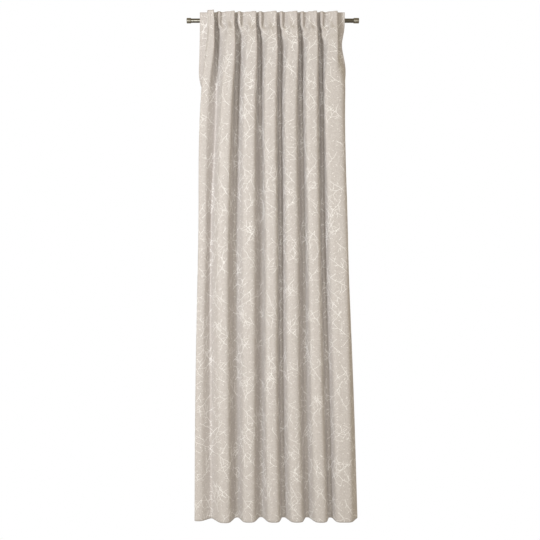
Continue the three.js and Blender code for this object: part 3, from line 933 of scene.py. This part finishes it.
def seen_from_camera(tree, lighting, seen, output):
    """Gives the stage one shader for its light and another, plain white, for its look."""
    path = node(tree, "ShaderNodeLightPath")
    mix = node(tree, "ShaderNodeMixShader")
    tree.links.new(path.outputs["Is Camera Ray"], mix.inputs["Fac"])
    tree.links.new(lighting, mix.inputs[1])
    tree.links.new(seen, mix.inputs[2])
    tree.links.new(mix.outputs["Shader"], tree.nodes[output].inputs["Surface"])


# Hard pieces by edit-mode steps

def start_piece(name, radius, low, high, sides):
    """A round bar along X between two places, alone in edit mode with nothing selected."""
    bpy.ops.object.select_all(action="DESELECT")
    bpy.ops.mesh.primitive_cylinder_add(
        vertices=sides, radius=radius, depth=high - low,
        location=((low + high) / 2, 0, 0), rotation=(0, pi / 2, 0))
    piece = bpy.context.object
    piece.name = name
    piece.data.name = name
    bpy.ops.object.transform_apply(location=True, rotation=True, scale=True)
    bpy.ops.object.mode_set(mode="EDIT")
    bpy.ops.mesh.select_mode(type="FACE")
    bpy.ops.mesh.select_all(action="DESELECT")
    return piece


def select_end(piece, way):
    """Selects the flat face that looks along X to that side, outermost if there are several."""
    bpy.ops.mesh.select_all(action="DESELECT")
    bpy.ops.object.mode_set(mode="OBJECT")
    ends = [face for face in piece.data.polygons if face.normal.x * way > 0.99 and len(face.vertices) > 4]
    outermost = max(ends, key=lambda face: face.center.x * way)
    outermost.select = True
    bpy.ops.object.mode_set(mode="EDIT")


def select_ring(piece, x, radius):
    """Selects the round edge at a place along X and a radius."""
    bpy.ops.mesh.select_mode(type="EDGE")
    bpy.ops.mesh.select_all(action="DESELECT")
    bpy.ops.object.mode_set(mode="OBJECT")
    near = 1e-5
    on_ring = [abs(v.co.x - x) < near and abs(hypot(v.co.y, v.co.z) - radius) < near
               for v in piece.data.vertices]
    for edge in piece.data.edges:
        edge.select = all(on_ring[v] for v in edge.vertices)
    bpy.ops.object.mode_set(mode="EDIT")


def bore_end(piece, way, inset, depth):
    """Insets the end face and pushes it in, so that the end is a round bore."""
    select_end(piece, way)
    bpy.ops.mesh.inset(thickness=inset, use_even_offset=True)
    bpy.ops.mesh.extrude_region_move(TRANSFORM_OT_translate={"value": (-way * depth, 0, 0)})


def round_ring(piece, x, radius, width, segments):
    select_ring(piece, x, radius)
    bpy.ops.mesh.bevel(offset=width, offset_type="OFFSET", segments=segments, affect="EDGES")
    bpy.ops.mesh.select_mode(type="FACE")


def finish_piece(piece, material):
    bpy.ops.mesh.select_all(action="SELECT")
    bpy.ops.mesh.normals_make_consistent(inside=False)
    bpy.ops.mesh.select_all(action="DESELECT")
    bpy.ops.object.mode_set(mode="OBJECT")
    bpy.ops.object.shade_smooth_by_angle(angle=radians(35))
    piece.data.materials.clear()
    piece.data.materials.append(material)


def need(name):
    """An object that an earlier operator has made."""
    found = bpy.data.objects.get(name)
    if found is None:
        raise RuntimeError(f"{name} has to be made first")
    return found


class CURTAIN_OT_make_panel(bpy.types.Operator):
    """Make the hanging panel as a thin closed sheet with doubled hems"""

    bl_idname = "curtain.make_panel"
    bl_label = "Make panel"

    def execute(self, context):
        cloth = context.scene.curtain_cloth
        surface = panel_surface()
        half = cloth.thickness / 2
        front = np.full((len(surface.rows), len(surface.columns)), half)
        from_side = np.minimum(surface.columns, FLAT_WIDTH - surface.columns)
        in_side = 1 - smooth((from_side - SIDE_HEM) / HEM_STEP + 0.5)
        in_bottom = 1 - smooth((surface.rows - HEM - BOTTOM_HEM) / HEM_STEP + 0.5)
        doubled = np.maximum(in_side[None, :], in_bottom[:, None])
        panel = sheet_object("panel", surface, front, half + cloth.hem_layer * doubled)
        panel.data.materials.append(
            cloth_material("sand_weave", cloth.cloth_colour, cloth.fleck_colour, lines=2.0))
        panel.data.materials.append(
            cloth_material("plain_reverse", cloth.reverse_colour, cloth.fleck_colour))
        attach(panel, "root")
        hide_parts("curtain_panel")
        return {"FINISHED"}


class CURTAIN_OT_make_twigs(bpy.types.Operator):
    """Make the raised near-white twigs that are woven into the front"""

    bl_idname = "curtain.make_twigs"
    bl_label = "Make twigs"

    def execute(self, context):
        cloth = context.scene.curtain_cloth
        need("panel")
        runs = [piece for run in twig_runs(cloth.twig_seed) for piece in resampled(run)]
        surface = panel_surface()
        twigs = raised_object("twig_weave", [
            (surface, 1, runs, cloth.twig_rise, THREAD_SINK, cloth.thickness / 2)])
        pale = [min(1, 1.12 * part) for part in cloth.twig_colour]
        twigs.data.materials.append(thread_material("twig_thread", cloth.twig_colour, pale))
        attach(twigs, "root")
        return {"FINISHED"}


class CURTAIN_OT_make_tabs(bpy.types.Operator):
    """Make the hidden tabs, straps sewn to the back of the heading that pass over the rod"""

    bl_idname = "curtain.make_tabs"
    bl_label = "Make tabs"

    def execute(self, context):
        cloth = context.scene.curtain_cloth
        material = cloth_material("tab_weave", cloth.reverse_colour, cloth.fleck_colour)
        half = cloth.thickness / 2
        for n, valley in enumerate(VALLEYS):
            surface = strap_surface(valley.tabs)
            layer = np.full((len(surface.rows), len(surface.columns)), half)
            tab = sheet_object(f"tab_strap_{n + 1}", surface, layer, layer)
            tab.data.materials.append(material)
            tab.data.materials.append(material)
            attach(tab, "root")
            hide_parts(f"tab_{n + 1}")
        return {"FINISHED"}


class CURTAIN_OT_make_stitching(bpy.types.Operator):
    """Make the rows of stitches of the hems and of the tabs' seams"""

    bl_idname = "curtain.make_stitching"
    bl_label = "Make stitching"

    def execute(self, context):
        cloth = context.scene.curtain_cloth
        length = cloth.stitch_length / MM
        surface = panel_surface()
        low, high = HEM + SEAM_END, TOP - SEAM_END
        seam = HEM + BOTTOM_HEM - HEM_STEP
        hem_rows = [((SEAM_END, seam), (FLAT_WIDTH - SEAM_END, seam))]
        for side in (SIDE_HEM - HEM_STEP, FLAT_WIDTH - SIDE_HEM + HEM_STEP):
            hem_rows.append(((side, high), (side, low)))
        hems = [run for row in hem_rows for run in stitches(*row, 2 * length, THREAD_WIDTH)]
        half = cloth.thickness / 2
        back = half + cloth.hem_layer
        hem_stitches = raised_object("hem_stitching", [
            (surface, 1, hems, FRONT_RISE, THREAD_SINK, half),
            (surface, -1, hems, BACK_RISE, THREAD_SINK, back)])
        tab_parts = []
        for valley in VALLEYS:
            strap = strap_surface(valley.tabs)
            edge, end = STRAP["width"] / 2 - TAB_SEAM, strap.rows[-1]
            rows = [((-edge, TAB_SEAM), (-edge, end - TAB_SEAM)),
                    ((edge, end - TAB_SEAM), (edge, TAB_SEAM))]
            for at in (TAB_END_SEAM, STRAP["top"] - STRAP["leaves"] - TAB_SEAM, end - TAB_END_SEAM,
                       end - (STRAP["returns"] - STRAP["bottom"]) + TAB_SEAM):
                rows.append(((-edge, at), (edge, at)))
            runs = [run for row in rows for run in stitches(*row, length, THREAD_WIDTH)]
            tab_parts.append((strap, -1, runs, BACK_RISE, THREAD_SINK, half))
        tab_stitches = raised_object("tab_stitching", tab_parts)
        pale = [1.1 * part for part in cloth.stitch_colour]
        material = thread_material("sewing_thread", cloth.stitch_colour, pale)
        for made, slot in ((hem_stitches, "panel_cloth"), (tab_stitches, "tab_cloth")):
            made.data.materials.append(material)
            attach(made, "root")
        return {"FINISHED"}


class CURTAIN_OT_make_rod(bpy.types.Operator):
    """Make the rod's tube from a bar with bored, softened ends"""

    bl_idname = "curtain.make_rod"
    bl_label = "Make rod"

    def execute(self, context):
        rod = context.scene.curtain_rod
        low, high = TUBE_BOX
        radius = high.z
        piece = start_piece("rod_finish", radius, low.x, high.x, rod.sides)
        for way in (-1, 1):
            bore_end(piece, way, rod.wall, 2 * radius)
        for x in (low.x, high.x):
            round_ring(piece, x, radius, rod.wall / 4, 2)
        finish_piece(piece, brushed_metal("brushed_rod", rod.rod_colour, 0.36))
        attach(piece, "root")
        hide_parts("rod_tube")
        return {"FINISHED"}


class CURTAIN_OT_make_caps(bpy.types.Operator):
    """Make the two cylindrical caps as cups with rounded edges"""

    bl_idname = "curtain.make_caps"
    bl_label = "Make end caps"

    def execute(self, context):
        rod = context.scene.curtain_rod
        material = brushed_metal("brushed_cap", rod.cap_colour, 0.4)
        bore = TUBE_BOX[1].z + rod.cap_clearance
        for side, way in (("left", -1), ("right", 1)):
            low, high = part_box(f"end_cap_{side}")
            radius = high.z
            piece = start_piece(f"cap_finish_{side}", radius, low.x, high.x, rod.sides)
            outer, inner = (high.x, low.x) if way > 0 else (low.x, high.x)
            bore_end(piece, -way, radius - bore, high.x - low.x - rod.end_wall)
            round_ring(piece, outer, radius, rod.outer_rounding, 5)
            round_ring(piece, inner, radius, rod.inner_rounding, 3)
            finish_piece(piece, material)
            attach(piece, "root")
            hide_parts(f"end_cap_{side}")
        return {"FINISHED"}


# The stage, in metres and degrees: what the lights look at, where they and the camera stand, the camera's
# tilt and lens, the side of the floor, and the colours.
LIT_PLACE = (0, 0, -1.0)
KEY_PLACE, KEY_COLOUR = (-1.9, -3.0, -0.55), (0.93, 0.97, 1)
FILL_PLACE, FILL_COLOUR = (0.3, -4.6, -0.7), (0.955, 0.985, 1)
SKY_COLOUR = (1, 0.87, 0.64, 1)
FLOOR_COLOUR = (0.6, 0.59, 0.57, 1)
FLOOR_SIDE = 40
CAMERA_PLACE = (-0.0132, -4.0, -0.851)
CAMERA_TILT = 4.699
SENSOR, FOCAL_LENGTH = 36, 55.367


class CURTAIN_OT_set_stage(bpy.types.Operator):
    """Set the floor, the light and the camera"""

    bl_idname = "curtain.set_stage"
    bl_label = "Set stage"

    def execute(self, context):
        stage = context.scene.curtain_stage
        self.make_floor(stage)
        self.make_sky(stage)
        self.make_light("key_light", stage.key_size, stage.key_power, KEY_COLOUR, KEY_PLACE)
        self.make_light("fill_light", stage.fill_size, stage.fill_power, FILL_COLOUR, FILL_PLACE)
        lens = bpy.data.cameras.new("camera")
        lens.sensor_width, lens.lens = SENSOR, FOCAL_LENGTH
        camera = bpy.data.objects.new("camera", lens)
        camera.location = CAMERA_PLACE
        camera.rotation_euler = (pi / 2 - radians(CAMERA_TILT), 0, 0)
        context.scene.collection.objects.link(camera)
        context.scene.camera = camera
        context.scene.view_settings.view_transform = "Standard"
        return {"FINISHED"}

    def make_light(self, name, size, power, colour, place):
        """A square soft light that looks at the curtain's middle."""
        light = bpy.data.lights.new(name, "AREA")
        light.size, light.energy, light.color = size, power, colour
        made = bpy.data.objects.new(name, light)
        made.location = place
        aim = Vector(LIT_PLACE) - made.location
        made.rotation_euler = aim.to_track_quat("-Z", "Y").to_euler()
        bpy.context.scene.collection.objects.link(made)

    def make_floor(self, stage):
        bpy.ops.object.select_all(action="DESELECT")
        bpy.ops.mesh.primitive_plane_add(size=FLOOR_SIDE, location=(0, 0, stage.floor_height))
        floor = bpy.context.object
        floor.name = "floor"
        material, tree, shader = new_material("pale_floor")
        set_surface(shader, Base_Color=FLOOR_COLOUR, Roughness=0.9)
        glow = node(tree, "ShaderNodeEmission")
        seen_from_camera(tree, shader.outputs["BSDF"], glow.outputs["Emission"], "Material Output")
        floor.data.materials.append(material)
        floor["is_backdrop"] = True

    def make_sky(self, stage):
        world = bpy.data.worlds.new("studio")
        world.use_nodes = True
        bpy.context.scene.world = world
        tree = world.node_tree
        fill = tree.nodes["Background"]
        fill.inputs["Color"].default_value = SKY_COLOUR
        fill.inputs["Strength"].default_value = stage.sky
        seen = node(tree, "ShaderNodeBackground")
        seen.inputs["Color"].default_value = (1, 1, 1, 1)
        seen_from_camera(tree, fill.outputs["Background"], seen.outputs["Background"], "World Output")


class CURTAIN_OT_hang_cloth(bpy.types.Operator):
    bl_idname = "curtain.hang_cloth"
    bl_label = "Hang cloth"

    def execute(self, context):
        return {"FINISHED"}


class CURTAIN_PT_sidebar(bpy.types.Panel):
    """Lists the curtain's sizes and the steps that make it"""

    bl_label = "Tab Top Curtain"
    bl_idname = "CURTAIN_PT_sidebar"
    bl_space_type = "VIEW_3D"
    bl_region_type = "UI"
    bl_category = "Curtain"

    def draw(self, context):
        layout = self.layout
        for group in (context.scene.curtain_cloth, context.scene.curtain_rod, context.scene.curtain_stage):
            box = layout.box()
            for name in group.__annotations__:
                box.prop(group, name)
        for operator in OPERATORS:
            layout.operator(operator.bl_idname)


GROUPS = {
    "curtain_cloth": CurtainCloth,
    "curtain_rod": CurtainRod,
    "curtain_stage": CurtainStage,
}
OPERATORS = [
    CURTAIN_OT_set_stage,
    CURTAIN_OT_make_rod,
    CURTAIN_OT_make_caps,
    CURTAIN_OT_make_panel,
    CURTAIN_OT_make_twigs,
    CURTAIN_OT_make_tabs,
    CURTAIN_OT_make_stitching,
    CURTAIN_OT_hang_cloth,
]


def register():
    for group in (*GROUPS.values(), *OPERATORS, CURTAIN_PT_sidebar):
        bpy.utils.register_class(group)
    for name, group in GROUPS.items():
        setattr(bpy.types.Scene, name, PointerProperty(type=group))


def unregister():
    for name in GROUPS:
        delattr(bpy.types.Scene, name)
    for group in (CURTAIN_PT_sidebar, *reversed(OPERATORS), *GROUPS.values()):
        bpy.utils.unregister_class(group)


def main():
    """Makes the curtain step by step."""
    register()
    bpy.ops.curtain.set_stage()
    bpy.ops.curtain.make_rod()
    bpy.ops.curtain.make_caps()
    bpy.ops.curtain.make_panel()
    bpy.ops.curtain.make_twigs()
    bpy.ops.curtain.make_tabs()
    bpy.ops.curtain.make_stitching()
    bpy.ops.curtain.hang_cloth()
    boxes = {"cad": CAD_BOX, "visual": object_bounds()}
    sizes = {name: [list(corner) for corner in box] for name, box in boxes.items()}


if __name__ == "__main__":
    main()
